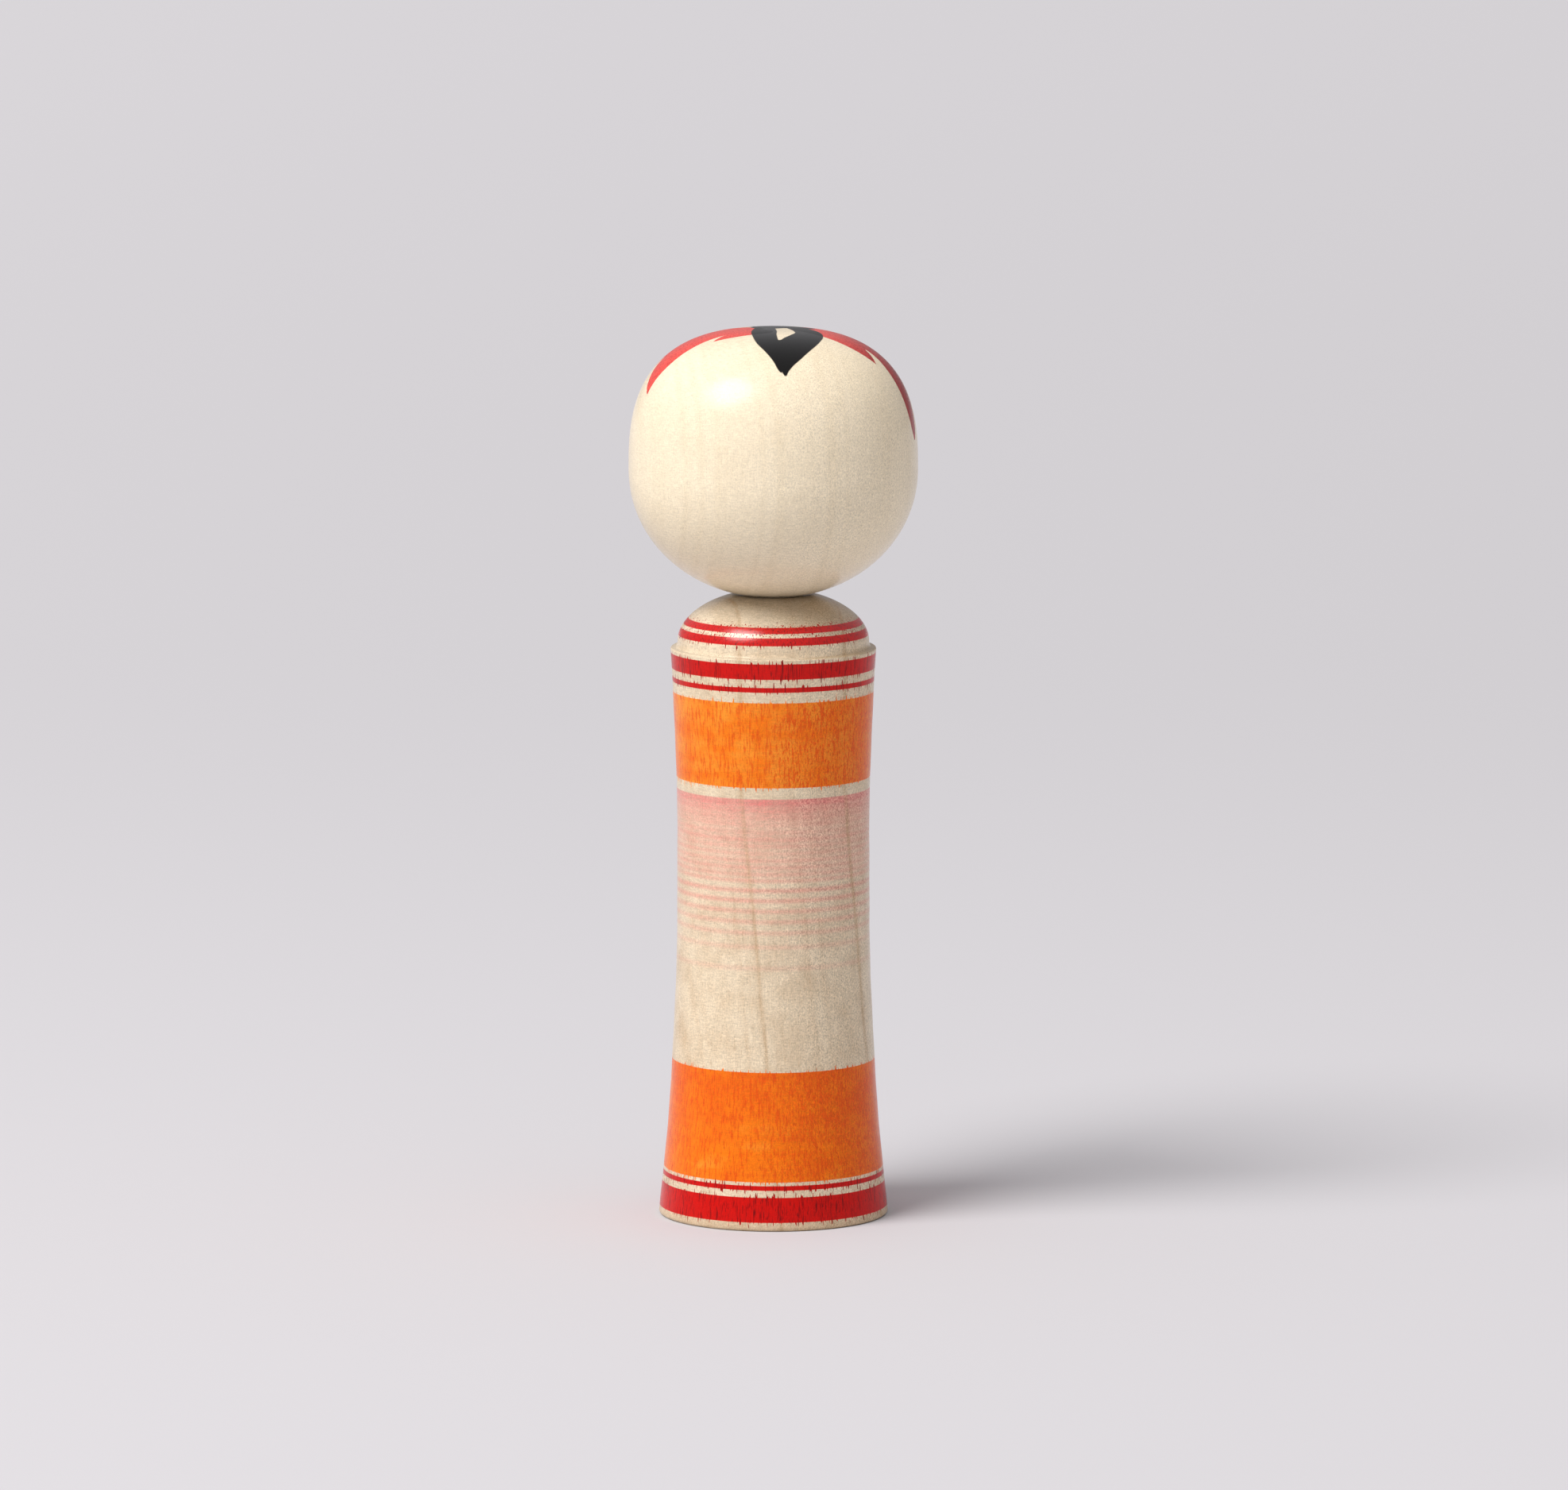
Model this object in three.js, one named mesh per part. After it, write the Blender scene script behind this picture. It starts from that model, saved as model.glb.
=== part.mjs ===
// A traditional turned-wood kokeshi doll, in millimetres, standing on z = 0 with +Z up
// and its face looking along -Y.
//
// It is two pieces of lathe work. The body is one billet: a waisted trunk, a narrow ledge, a domed
// shoulder, and a blind socket in the top of the dome. The head is another, with its neck tenon
// turned in one with it. The tenon's swollen ring sits in a groove inside the socket, so the head
// turns without limit and can't be pulled off.
import * as THREE from 'three';

// Driving dimensions
const TOTAL_HEIGHT = 150.9;
const SEGMENTS = 64;

const FOOT_RADIUS = 19.5;
const FOOT_ROUNDING = 0.5;
const WAIST_Z = 60;
const WAIST_RADIUS = 16.25;
const FLARE_POWER = 2.15; // how late the trunk flares from the waist towards each end

const LEDGE_Z = 96.9;
const LEDGE_OUTER_RADIUS = 17.4;
const LEDGE_INNER_RADIUS = 16.7;
const LEDGE_ROUNDING = 0.3;

const DOME_FOOT_Z = 97.8;
const DOME_RADIUS = 16.2;
const DOME_HEIGHT = 8.9; // of the full half ellipse, before its top is turned flat
const DOME_LAND_Z = 105.9; // the flat that faces the underside of the head

const NECK_GAP = 0.3; // between the dome's flat and the head
const FIT_GAP = 0.15; // between the tenon and the socket, on the radius
const TENON_RADIUS = 5;
const TENON_RING_RADIUS = 5.6;
const TENON_RING_Z = 99.6;
const TENON_RING_HALF_LENGTH = 1.8;
const TENON_END_Z = 97;
const TENON_END_CHAMFER = 0.8;
const SOCKET_FLOOR_Z = 96.2;
const SOCKET_LEAD_IN = 0.5;

const HEAD_RADIUS = 24.4;
const HEAD_MIDDLE_Z = 127.2;
const HEAD_CROWN_POWER = 2.7; // 2 is an ellipse, and more is squarer
const HEAD_CHEEK_DEPTH = 21.8; // of the full lower half, before its bottom is turned flat
const HEAD_CHEEK_POWER = 2.05;

const TRUNK_STEPS = 7; // on each side of the waist
const DOME_STEPS = 8;
const CROWN_STEPS = 14;
const CHEEK_STEPS = 11;

const point = (radius, z) => new THREE.Vector2(radius, z);

// A quarter turn of an oval from one angle to another, around (radius, z), in equal steps.
function oval(radius, z, radiusReach, zReach, from, to, steps, power = 2) {
  const points = [];
  for (let i = 0; i <= steps; i += 1) {
    const angle = from + ((to - from) * i) / steps;
    const across = Math.cos(angle);
    const up = Math.sin(angle);
    points.push(point(
      radius + radiusReach * Math.sign(across) * Math.abs(across) ** (2 / power),
      z + zReach * Math.sign(up) * Math.abs(up) ** (2 / power),
    ));
  }
  return points;
}

// The trunk is hollowed from both ends towards the waist.
function trunkRadius(z) {
  const endZ = z < WAIST_Z ? 0 : LEDGE_Z;
  const endRadius = z < WAIST_Z ? FOOT_RADIUS : LEDGE_OUTER_RADIUS;
  const way = (z - WAIST_Z) / (endZ - WAIST_Z);
  return WAIST_RADIUS + (endRadius - WAIST_RADIUS) * way ** FLARE_POWER;
}

function trunk() {
  const bottom = FOOT_ROUNDING;
  const top = LEDGE_Z - LEDGE_ROUNDING;
  const points = [];
  for (let i = -TRUNK_STEPS; i <= TRUNK_STEPS; i += 1) {
    const end = i < 0 ? bottom : top;
    const z = WAIST_Z + (end - WAIST_Z) * Math.abs(i / TRUNK_STEPS);
    points.push(point(trunkRadius(z), z));
  }
  return points;
}

// The angle at which an oval's height, as a share of its full height, is reached.
function angleAtHeight(share, power = 2) {
  return Math.asin(share ** (power / 2));
}

function foot() {
  const edge = trunkRadius(FOOT_ROUNDING) - FOOT_ROUNDING;
  return oval(edge, FOOT_ROUNDING, FOOT_ROUNDING, FOOT_ROUNDING, -Math.PI / 2, 0, 2).slice(0, -1);
}

function ledge() {
  const edge = trunkRadius(LEDGE_Z - LEDGE_ROUNDING) - LEDGE_ROUNDING;
  const rounding = oval(edge, LEDGE_Z - LEDGE_ROUNDING, LEDGE_ROUNDING, LEDGE_ROUNDING, 0, Math.PI / 2, 2);
  return rounding.slice(1);
}

// A small cove leads from the ledge up into the dome, which ends in a flat.
function dome() {
  const coveWidth = LEDGE_INNER_RADIUS - DOME_RADIUS;
  const coveHeight = DOME_FOOT_Z - LEDGE_Z;
  const cove = oval(LEDGE_INNER_RADIUS, DOME_FOOT_Z, coveWidth, coveHeight, -Math.PI / 2, -Math.PI, 3);
  const landAngle = angleAtHeight((DOME_LAND_Z - DOME_FOOT_Z) / DOME_HEIGHT);
  const crown = oval(0, DOME_FOOT_Z, DOME_RADIUS, DOME_HEIGHT, 0, landAngle, DOME_STEPS);
  return [...cove, ...crown.slice(1)];
}

// Down from the flat into the blind socket, with the groove that the tenon's ring runs in.
function socket() {
  const mouth = TENON_RADIUS + FIT_GAP;
  const groove = TENON_RING_RADIUS + FIT_GAP;
  const grooveTop = TENON_RING_Z + TENON_RING_HALF_LENGTH + FIT_GAP;
  return [
    point(mouth + SOCKET_LEAD_IN, DOME_LAND_Z),
    point(mouth, DOME_LAND_Z - SOCKET_LEAD_IN),
    point(mouth, grooveTop + FIT_GAP),
    point(groove, TENON_RING_Z + FIT_GAP),
    point(groove, SOCKET_FLOOR_Z + SOCKET_LEAD_IN),
    point(groove - SOCKET_LEAD_IN, SOCKET_FLOOR_Z),
    point(0, SOCKET_FLOOR_Z),
  ];
}

function bodyProfile() {
  return [point(0, 0), ...foot(), ...trunk(), ...ledge(), ...dome(), ...socket()];
}

function tenon() {
  const ringTop = TENON_RING_Z + TENON_RING_HALF_LENGTH;
  return [
    point(0, TENON_END_Z),
    point(TENON_RADIUS - TENON_END_CHAMFER, TENON_END_Z),
    point(TENON_RADIUS, TENON_END_Z + TENON_END_CHAMFER),
    point(TENON_RING_RADIUS, TENON_RING_Z),
    point(TENON_RADIUS, ringTop),
    point(TENON_RADIUS, DOME_LAND_Z + NECK_GAP),
  ];
}

function headProfile() {
  const bottomZ = DOME_LAND_Z + NECK_GAP;
  const crownHeight = TOTAL_HEIGHT - HEAD_MIDDLE_Z;
  const bottomShare = (HEAD_MIDDLE_Z - bottomZ) / HEAD_CHEEK_DEPTH;
  const bottomAngle = -angleAtHeight(bottomShare, HEAD_CHEEK_POWER);
  const cheeks = oval(
    0, HEAD_MIDDLE_Z, HEAD_RADIUS, HEAD_CHEEK_DEPTH, bottomAngle, 0, CHEEK_STEPS, HEAD_CHEEK_POWER);
  const crown = oval(
    0, HEAD_MIDDLE_Z, HEAD_RADIUS, crownHeight, 0, Math.PI / 2, CROWN_STEPS, HEAD_CROWN_POWER);
  return [...tenon(), ...cheeks, ...crown.slice(1)];
}

// Turns a profile about the Z axis.
function turned(name, profile, material) {
  const onAxis = profile.map((p) => point(Math.abs(p.x) < 1e-9 ? 0 : p.x, p.y));
  const geometry = new THREE.LatheGeometry(onAxis, SEGMENTS);
  geometry.rotateX(Math.PI / 2);
  const mesh = new THREE.Mesh(geometry, material);
  mesh.name = name;
  return mesh;
}

const bodyWood = new THREE.MeshStandardMaterial({ color: 0xdcc6a4, roughness: 0.45, metalness: 0 });
const headWood = new THREE.MeshStandardMaterial({ color: 0xeee0c4, roughness: 0.42, metalness: 0 });

const kokeshi = new THREE.Group();
kokeshi.add(turned('body', bodyProfile(), bodyWood));
kokeshi.add(turned('head', headProfile(), headWood));

export default kokeshi;
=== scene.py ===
"""The looks of a turned and painted kokeshi doll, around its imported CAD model.

The doll stands on z = 0 with its face looking along -Y, so its left is +X. Profiles and brushwork are
in millimetres, and become metres where a mesh is made. The camera, light and floor are in metres.
Dyed bands are drawn by height in the body's material. Brush strokes are laid on the mesh as signed
distances, one attribute for each dye, which the materials turn into edges that bleed along the grain.
"""
import math

import bpy
import numpy as np
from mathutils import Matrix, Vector


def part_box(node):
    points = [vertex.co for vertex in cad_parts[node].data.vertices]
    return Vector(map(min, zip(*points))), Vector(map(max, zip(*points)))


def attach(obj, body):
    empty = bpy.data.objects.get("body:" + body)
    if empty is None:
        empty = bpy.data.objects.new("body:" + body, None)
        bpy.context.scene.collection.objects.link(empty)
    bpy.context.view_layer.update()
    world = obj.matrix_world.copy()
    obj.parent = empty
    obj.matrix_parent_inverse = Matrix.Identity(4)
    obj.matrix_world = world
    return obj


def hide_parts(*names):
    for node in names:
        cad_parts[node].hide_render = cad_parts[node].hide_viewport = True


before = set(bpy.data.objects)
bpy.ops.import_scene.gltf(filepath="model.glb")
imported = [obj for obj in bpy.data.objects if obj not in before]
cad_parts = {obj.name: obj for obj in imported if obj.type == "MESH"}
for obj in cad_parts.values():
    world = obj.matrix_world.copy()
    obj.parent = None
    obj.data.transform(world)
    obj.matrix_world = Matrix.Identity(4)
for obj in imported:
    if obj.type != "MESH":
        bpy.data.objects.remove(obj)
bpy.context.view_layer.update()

MM = 0.001
BODY_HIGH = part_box("body")[1]
HEAD_LOW, HEAD_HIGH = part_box("head")

# --- Dimensions in millimetres; the largest come from the frame ---------------------------------
TOTAL_HEIGHT = HEAD_HIGH[2] / MM
LAND_Z = BODY_HIGH[2] / MM          # the flat on top of the shoulder dome
FOOT_RADIUS = 19.5
FOOT_ROUNDING = 0.5
WAIST_Z = 60.0
WAIST_RADIUS = 16.25
FLARE_POWER = 2.15
LEDGE_Z = 96.9
LEDGE_OUTER_RADIUS = 17.4
LEDGE_INNER_RADIUS = 16.7
LEDGE_ROUNDING = 0.3
GOUGE_WAVES = ((0.035, 4.3, 0.7), (0.015, 1.35, 0.0))   # depth, length to a radian, start
GOUGE_FADE = 4.0                    # the waves die out over this length at both ends of the trunk
DOME_FOOT_Z = 97.8
DOME_RADIUS = 16.2
DOME_HEIGHT = 8.9
NECK_GAP = 0.3
FIT_GAP = 0.15
TENON_RADIUS = 5.0
TENON_RING_RADIUS = 5.6
TENON_RING_Z = 99.6
TENON_RING_HALF_LENGTH = 1.8
TENON_END_Z = HEAD_LOW[2] / MM
TENON_END_CHAMFER = 0.8
SOCKET_FLOOR_Z = 96.2
SOCKET_LEAD_IN = 0.5
HEAD_RADIUS = HEAD_HIGH[0] / MM
HEAD_MIDDLE_Z = 127.2
CROWN_POWER = 2.7
CHEEK_DEPTH = 21.8
CHEEK_POWER = 2.05
BODY_SPACING = 0.5                  # between the rings of points of a turned mesh
BODY_COLUMNS = 256                  # points round each ring
HEAD_SPACING = 0.38
HEAD_COLUMNS = 400
ROUNDING_STEPS = 8                  # points along each curve, before they are spaced evenly
LEDGE_STEPS = 6
TRUNK_STEPS = 400
DOME_STEPS = 120
CHEEK_STEPS = 400
CROWN_STEPS = 600
SHARP_TURN = 8                      # degrees: a corner that keeps its point


# --- Turned shapes -------------------------------------------------------------------------------
def oval(radius, z, radius_reach, z_reach, start, end, steps, power=2.0):
    """Points (radius, z) on part of a squared oval, from one angle to another."""
    angle = np.linspace(start, end, steps + 1)
    across, up = np.cos(angle), np.sin(angle)
    return np.column_stack((
        radius + radius_reach * np.sign(across) * np.abs(across) ** (2 / power),
        z + z_reach * np.sign(up) * np.abs(up) ** (2 / power),
    ))


def angle_at_height(share, power=2.0):
    return math.asin(share ** (power / 2))


def trunk_radius(z):
    """The trunk is hollowed from both ends towards the waist."""
    z = np.asarray(z, float)
    below = z < WAIST_Z
    way = np.where(below, (WAIST_Z - z) / WAIST_Z, (z - WAIST_Z) / (LEDGE_Z - WAIST_Z))
    flare = np.where(below, FOOT_RADIUS, LEDGE_OUTER_RADIUS) - WAIST_RADIUS
    return WAIST_RADIUS + flare * np.abs(way) ** FLARE_POWER


def hand_of_the_turner(z):
    """The gouge leaves the trunk very slightly uneven along its length."""
    z = np.asarray(z, float)
    fade = np.clip(z / GOUGE_FADE, 0, 1) * np.clip((LEDGE_Z - z) / GOUGE_FADE, 0, 1)
    return fade * sum(depth * np.sin(z / length + start) for depth, length, start in GOUGE_WAVES)


def body_profile():
    foot_edge = float(trunk_radius(FOOT_ROUNDING)) - FOOT_ROUNDING
    foot = oval(foot_edge, FOOT_ROUNDING, FOOT_ROUNDING, FOOT_ROUNDING,
                -math.pi / 2, 0, ROUNDING_STEPS)
    z = np.linspace(FOOT_ROUNDING, LEDGE_Z - LEDGE_ROUNDING, TRUNK_STEPS)[1:-1]
    trunk = np.column_stack((trunk_radius(z) + hand_of_the_turner(z), z))
    ledge_z = LEDGE_Z - LEDGE_ROUNDING
    ledge_edge = float(trunk_radius(ledge_z)) - LEDGE_ROUNDING
    ledge = oval(ledge_edge, ledge_z, LEDGE_ROUNDING, LEDGE_ROUNDING, 0, math.pi / 2, LEDGE_STEPS)
    cove = oval(LEDGE_INNER_RADIUS, DOME_FOOT_Z, LEDGE_INNER_RADIUS - DOME_RADIUS,
                DOME_FOOT_Z - LEDGE_Z, -math.pi / 2, -math.pi, ROUNDING_STEPS)
    land_angle = angle_at_height((LAND_Z - DOME_FOOT_Z) / DOME_HEIGHT)
    dome = oval(0, DOME_FOOT_Z, DOME_RADIUS, DOME_HEIGHT, 0, land_angle, DOME_STEPS)[1:]
    mouth = TENON_RADIUS + FIT_GAP
    groove = TENON_RING_RADIUS + FIT_GAP
    groove_top = TENON_RING_Z + TENON_RING_HALF_LENGTH + FIT_GAP
    socket = [
        (mouth + SOCKET_LEAD_IN, LAND_Z),
        (mouth, LAND_Z - SOCKET_LEAD_IN),
        (mouth, groove_top + FIT_GAP),
        (groove, TENON_RING_Z + FIT_GAP),
        (groove, SOCKET_FLOOR_Z + SOCKET_LEAD_IN),
        (groove - SOCKET_LEAD_IN, SOCKET_FLOOR_Z),
        (0, SOCKET_FLOOR_Z),
    ]
    return np.vstack(([(0, 0)], foot, trunk, ledge, cove, dome, socket))


def cheek_angle():
    """Where the lower half of the head meets its flat underside."""
    bottom = (HEAD_MIDDLE_Z - LAND_Z - NECK_GAP) / CHEEK_DEPTH
    return -angle_at_height(bottom, CHEEK_POWER)


def head_profile():
    ring_top = TENON_RING_Z + TENON_RING_HALF_LENGTH
    tenon = [
        (0, TENON_END_Z),
        (TENON_RADIUS - TENON_END_CHAMFER, TENON_END_Z),
        (TENON_RADIUS, TENON_END_Z + TENON_END_CHAMFER),
        (TENON_RING_RADIUS, TENON_RING_Z),
        (TENON_RADIUS, ring_top),
        (TENON_RADIUS, LAND_Z + NECK_GAP),
    ]
    crown_height = TOTAL_HEIGHT - HEAD_MIDDLE_Z
    cheeks = oval(0, HEAD_MIDDLE_Z, HEAD_RADIUS, CHEEK_DEPTH,
                  cheek_angle(), 0, CHEEK_STEPS, CHEEK_POWER)
    crown = oval(0, HEAD_MIDDLE_Z, HEAD_RADIUS, crown_height,
                 0, math.pi / 2, CROWN_STEPS, CROWN_POWER)
    return np.vstack((tenon, cheeks, crown[1:]))


def evenly(profile, spacing):
    """The same outline with points added or thinned to about one spacing, and its corners kept."""
    steps = np.diff(profile, axis=0)
    lengths = np.hypot(*steps.T)
    heading = np.arctan2(steps[:, 1], steps[:, 0])
    turn = np.abs((np.diff(heading) + math.pi) % (2 * math.pi) - math.pi)
    corners = [0, *(np.flatnonzero(turn > math.radians(SHARP_TURN)) + 1), len(profile) - 1]
    along = np.concatenate(([0], np.cumsum(lengths)))
    marks = [0.0]
    for a, b in zip(corners, corners[1:]):
        pieces = max(1, round((along[b] - along[a]) / spacing))
        marks += list(np.linspace(along[a], along[b], pieces + 1)[1:])
    return np.column_stack([np.interp(marks, along, profile[:, i]) for i in (0, 1)])


def turned(name, profile, columns):
    """A closed mesh turned about the Z axis. The profile starts and ends on the axis."""
    rings = profile[1:-1] * MM
    angle = np.linspace(0, 2 * math.pi, columns, endpoint=False)
    circle = np.column_stack((np.cos(angle), np.sin(angle)))
    sides = np.concatenate([np.column_stack((r * circle, np.full(columns, z))) for r, z in rings])
    ends = np.array([(0, 0, profile[0, 1] * MM), (0, 0, profile[-1, 1] * MM)])
    first, last = len(sides), len(sides) + 1
    here = np.arange(columns)
    beside = np.roll(here, -1)
    top = (len(rings) - 1) * columns
    faces = [(first, b, a) for a, b in zip(here, beside)]
    for i in range(len(rings) - 1):
        low, high = i * columns, (i + 1) * columns
        faces += [(low + a, low + b, high + b, high + a) for a, b in zip(here, beside)]
    faces += [(last, top + a, top + b) for a, b in zip(here, beside)]
    mesh = bpy.data.meshes.new(name)
    mesh.from_pydata(np.vstack((sides, ends)).tolist(), [], faces)
    mesh.shade_smooth()
    piece = bpy.data.objects.new(name, mesh)
    bpy.context.scene.collection.objects.link(piece)
    return piece


# --- Brushwork, laid on a mesh as signed distances in millimetres -----------------------------------
FARTHEST = 5.0                      # no distance from a stroke is stored beyond this
STROKE_MARGIN = 3.0                 # distances are worked out this far round a stroke


def vertices_of(piece):
    places = np.empty(len(piece.data.vertices) * 3)
    piece.data.vertices.foreach_get("co", places)
    return places.reshape(-1, 3) / MM


def smooth_path(points, steps=48):
    """A curve through every point, each of which may carry more numbers than its place."""
    points = np.asarray(points, float)
    padded = np.vstack((2 * points[0] - points[1], points, 2 * points[-1] - points[-2]))
    found = []
    spans = len(points) - 1
    for i in range(spans):
        before, a, b, after = padded[i:i + 4]
        t = np.linspace(0, 1, max(2, steps // spans), endpoint=i == spans - 1)[:, None]
        found.append(0.5 * (2 * a + (b - before) * t + (2 * before - 5 * a + 4 * b - after) * t ** 2
                            + (3 * a - before - 3 * b + after) * t ** 3))
    return np.vstack(found)


def stroke_distance(places, dabs):
    """The signed distance from each place to a stroke made of round dabs (x, y, z, radius)."""
    nearest = np.full(len(places), FARTHEST)
    centre = dabs[:, :3].mean(0)
    reach = np.linalg.norm(dabs[:, :3] - centre, axis=1).max() + dabs[:, 3].max() + STROKE_MARGIN
    near = np.flatnonzero(np.linalg.norm(places - centre, axis=1) < reach)
    for dab in dabs:
        distance = np.linalg.norm(places[near] - dab[:3], axis=1) - dab[3]
        nearest[near] = np.minimum(nearest[near], distance)
    return nearest


def paint(piece, dye, strokes):
    """Stores how far each vertex lies from the nearest stroke of this dye, negative inside one."""
    places = vertices_of(piece)
    nearest = np.full(len(places), FARTHEST)
    for dabs in strokes:
        nearest = np.minimum(nearest, stroke_distance(places, dabs))
    held = piece.data.attributes.new(dye, "FLOAT", "POINT")
    held.data.foreach_set("value", nearest.astype(np.float32))


def crown_height_at(radius):
    share = np.clip(np.asarray(radius, float) / HEAD_RADIUS, 0, 1)
    crown = TOTAL_HEIGHT - HEAD_MIDDLE_Z
    return HEAD_MIDDLE_Z + crown * (1 - share ** CROWN_POWER) ** (1 / CROWN_POWER)


def on_crown(points):
    """A brush stroke seen from above: (x, y, half width) for each point, dropped onto the crown."""
    path = smooth_path(points)
    z = crown_height_at(np.hypot(path[:, 0], path[:, 1]))
    return np.column_stack((path[:, :2], z, np.abs(path[:, 2])))


def head_radius_at(z):
    z = np.asarray(z, float)
    upper = z >= HEAD_MIDDLE_Z
    reach = np.where(upper, TOTAL_HEIGHT - HEAD_MIDDLE_Z, CHEEK_DEPTH)
    power = np.where(upper, CROWN_POWER, CHEEK_POWER)
    share = np.clip(np.abs(z - HEAD_MIDDLE_Z) / reach, 0, 1)
    return HEAD_RADIUS * (1 - share ** power) ** (1 / power)


def on_side(points):
    """A brush stroke on the head: (degrees round from the face, z, half width) for each point."""
    path = smooth_path(points)
    turn = np.radians(path[:, 0])
    radius = head_radius_at(path[:, 1])
    return np.column_stack((radius * np.sin(turn), -radius * np.cos(turn), path[:, 1:2],
                            np.abs(path[:, 2])))


def on_trunk(points):
    """A brush stroke on the front of the body: (mm across, z, half width) for each point."""
    path = smooth_path(points)
    radius = trunk_radius(path[:, 1])
    turn = path[:, 0] / radius
    return np.column_stack((radius * np.sin(turn), -radius * np.cos(turn), path[:, 1:2],
                            np.abs(path[:, 2])))


def both_sides(strokes):
    return strokes + [[(-across, *rest) for across, *rest in points] for points in strokes]


# From above: (x, y, half width). The back of the head is towards +y.
BACK_LOCK = [
    [(1.4, -0.5, 1.7), (1.95, 4.0, 2.15), (2.2, 7.2, 2.05), (2.05, 11.0, 1.9), (1.2, 14.2, 1.6),
     (0.7, 16.4, 1.15), (0.5, 18.0, 0.75), (0.6, 18.9, 0.2)],
    [(-3.8, -0.5, 1.6), (-5.2, 3.4, 2.2), (-5.4, 6.3, 2.4), (-4.3, 9.2, 2.75), (-2.8, 11.9, 2.9),
     (-1.6, 15.2, 2.0), (-0.6, 17.5, 1.1), (-0.15, 18.8, 0.55), (-0.15, 19.5, 0.18)],
    [(-1.0, 11.2, 1.0), (0.3, 11.5, 1.0)],
]
CROWN_KNOT = [
    [(-5.4, -1.6, 1.8), (-1.5, -2.6, 2.6), (2.0, -2.0, 1.6)],
]
BACK_RIBBONS = [
    [(3.5, 0.6, 1.8), (9.3, 2.0, 2.2), (15.0, 2.2, 3.2), (18.2, 2.3, 3.4), (20.6, 3.6, 1.7),
     (21.4, 4.5, 0.7), (21.8, 5.2, 0.05)],
    [(2.5, 4.2, 2.0), (6.5, 5.0, 1.7), (9.0, 5.7, 0.9), (10.7, 6.4, 0.05)],
    [(-4.5, 2.0, 1.8), (-9.5, 4.8, 2.4), (-12.8, 6.7, 2.1), (-15.0, 8.1, 1.1), (-16.4, 9.2, 0.05)],
    [(-5.5, 0.4, 1.8), (-13.0, 2.0, 3.0), (-17.2, 3.2, 3.0), (-19.8, 4.7, 3.1), (-21.3, 5.6, 2.9),
     (-22.3, 6.3, 2.4), (-22.9, 6.8, 1.6), (-23.15, 7.0, 0.6)],
]
FRONT_RIBBON = [
    [(3.5, -1.0, 1.6), (8.5, -3.8, 2.2), (12.6, -7.4, 2.4), (15.4, -10.8, 1.9), (17.0, -13.4, 1.0),
     (17.9, -15.2, 0.1)],
    [(4.5, 0.2, 1.6), (10.5, -1.6, 2.6), (16.4, -3.8, 3.0), (19.8, -5.8, 2.4), (21.6, -7.4, 1.3),
     (22.5, -8.6, 0.1)],
]
FORELOCK = [
    [(0.0, -2.0, 2.6), (0.0, -9.0, 2.8), (0.0, -15.0, 2.5), (0.0, -19.6, 1.4), (0.0, -22.0, 0.05)],
]
FORELOCK_SIDE = [
    [(1.0, -3.0, 1.8), (2.6, -8.5, 2.3), (4.8, -14.5, 2.3), (5.8, -18.6, 1.3), (6.2, -21.0, 0.1)],
    [(2.0, -6.0, 1.6), (5.4, -9.8, 2.1), (9.2, -13.4, 2.2), (11.2, -16.8, 1.2), (12.0, -18.8, 0.1)],
]
# On the side of the head: (degrees round from the face, height, half width).
SIDE_LOCK = [
    [(69, 139.5, 0.2), (65, 137.0, 1.5), (59, 131.5, 1.9), (54, 126.0, 1.3), (50, 120.8, 0.1)],
    [(75, 139.0, 0.2), (72, 135.0, 1.6), (67, 128.5, 1.8), (62, 122.5, 1.1), (58, 118.0, 0.1)],
]
# On the front of the trunk: (mm across, height, half width).
FLOWER_Z = 48.0
STEM = [
    [(0.2, 28.6, 0.3), (-0.5, 35.0, 0.4), (0.1, 41.0, 0.4), (0.0, 46.0, 0.5)],
    [(-2.0, 47.3, 0.15), (-1.1, 46.4, 0.5), (0.0, 46.1, 0.7), (1.1, 46.4, 0.5), (2.0, 47.3, 0.15)],
]
LEAVES = [
    [(0.2, 36.6, 0.15), (2.8, 37.8, 1.0), (6.0, 40.4, 1.5), (8.8, 43.6, 0.8), (10.4, 46.0, 0.1)],
    [(0.2, 32.6, 0.15), (3.2, 32.4, 1.1), (6.8, 33.6, 1.5), (9.8, 36.0, 0.8), (11.6, 38.4, 0.1)],
    [(-0.4, 35.2, 0.15), (-3.0, 36.2, 1.0), (-6.2, 38.8, 1.5), (-9.0, 42.2, 0.8), (-10.6, 44.8, 0.1)],
    [(-0.2, 31.2, 0.15), (-3.4, 30.8, 1.1), (-7.0, 31.8, 1.5), (-10.0, 34.2, 0.8), (-11.8, 36.6, 0.1)],
]
# Each fan of the flower: petals, their near and far ends, half the spread in degrees, half width.
PETAL_FANS = ((9, 4.4, 12.0, 96, 1.12), (5, 0.8, 3.6, 72, 0.5))
# Along a petal: the share of the way to its far end, and the share of its half width there.
PETAL_SHAPE = ((0.0, 0.15), (0.35, 0.7), (0.75, 1.0), (1.0, 0.25))
PETAL_DROOP = 0.018


def petals():
    """A chrysanthemum seen from the side. Its petals droop a little towards their tips."""
    strokes = []
    for count, near, far, spread, half_width in PETAL_FANS:
        for i in range(count):
            lean = math.radians(spread * (2 * i / (count - 1) - 1))
            points = []
            for share, width in PETAL_SHAPE:
                reach = near + (far - near) * share
                droop = PETAL_DROOP * reach * reach * abs(math.sin(lean))
                across = reach * math.sin(lean)
                points.append((across, FLOWER_Z + reach * math.cos(lean) - droop, width * half_width))
            strokes.append(points)
    return strokes


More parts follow.
